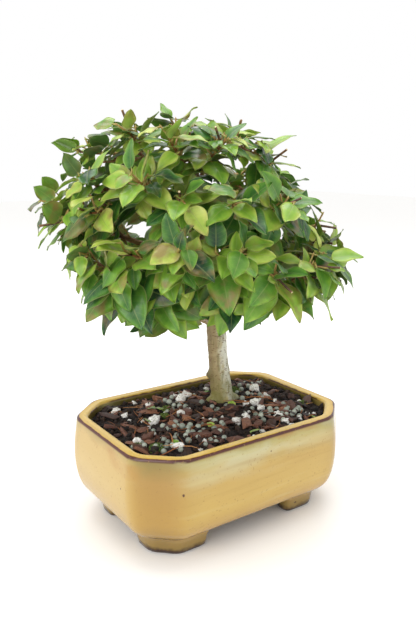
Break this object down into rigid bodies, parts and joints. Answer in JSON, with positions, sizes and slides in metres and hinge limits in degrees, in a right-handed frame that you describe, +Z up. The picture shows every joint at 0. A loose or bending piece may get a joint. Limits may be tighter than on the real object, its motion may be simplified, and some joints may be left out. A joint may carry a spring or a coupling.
{
  "type": "bonsai tree in a pot",
  "caption": "Small broad-leaved bonsai tree with a slightly leaning trunk and a domed crown, planted in a clipped-corner glazed ceramic pot that stands on corner feet.",
  "frame": {"origin": "on the table, at the middle of the whole plant's bounding box", "axes": "+Z up the tree, its longest extent; +X along the pot's long side; +Y across it, from the pot's front to its back, the shortest extent"},
  "size_m": [0.1948, 0.1822, 0.2478],
  "materials": {
    "glaze": "glossy straw-coloured glaze breaking to dark brown at the edges",
    "soil_mix": "damp bark-based potting mix, rough",
    "bark": "pale grey-beige bark with small brown pores",
    "foliage": "waxy green leaves on thin red-brown twigs",
    "bark_chips": "split red-brown bark, rough",
    "perlite": "white puffed grains, matt",
    "moss": "soft dark green moss, matt",
    "netting": "black moulded plastic net"
  },
  "bodies": {
    "root": {"trunk_and_limbs": "bark", "shoot_low_left_front_1": "foliage", "shoot_low_left_front_2": "foliage", "shoot_low_left_front_3": "foliage", "shoot_low_right_front_1": "foliage", "shoot_low_right_front_2": "foliage", "shoot_low_right_front_3": "foliage", "shoot_low_left_back_1": "foliage", "shoot_low_left_back_2": "foliage", "shoot_low_right_back_1": "foliage", "shoot_low_right_back_2": "foliage", "shoot_front_1": "foliage", "shoot_front_2": "foliage", "shoot_front_3": "foliage", "shoot_right_1": "foliage", "shoot_right_2": "foliage", "shoot_right_3": "foliage", "shoot_right_4": "foliage", "shoot_left_1": "foliage", "shoot_left_2": "foliage", "shoot_left_3": "foliage", "shoot_left_4": "foliage", "shoot_back_1": "foliage", "shoot_back_2": "foliage", "shoot_back_3": "foliage", "shoot_mid_right_front_1": "foliage", "shoot_mid_right_front_2": "foliage", "shoot_mid_right_front_3": "foliage", "shoot_mid_left_back_1": "foliage", "shoot_mid_left_back_2": "foliage", "shoot_mid_left_front_1": "foliage", "shoot_mid_left_front_2": "foliage", "shoot_mid_left_front_3": "foliage", "shoot_mid_left_front_4": "foliage", "shoot_mid_right_back_1": "foliage", "shoot_mid_right_back_2": "foliage", "shoot_mid_right_back_3": "foliage", "shoot_high_front_1": "foliage", "shoot_high_front_2": "foliage", "shoot_high_left_1": "foliage", "shoot_high_left_2": "foliage", "shoot_high_left_3": "foliage", "shoot_high_right_1": "foliage", "shoot_high_right_2": "foliage", "shoot_trunk_1": "foliage", "pot": "glaze", "drain_screen_left": "netting", "drain_screen_right": "netting", "soil": "soil_mix", "bark_chip_1": "bark_chips", "bark_chip_2": "bark_chips", "bark_chip_3": "bark_chips", "bark_chip_4": "bark_chips", "bark_chip_5": "bark_chips", "bark_chip_6": "bark_chips", "perlite_1": "perlite", "perlite_2": "perlite", "perlite_3": "perlite", "perlite_4": "perlite", "moss_tuft": "moss"}
  },
  "joints": []
}
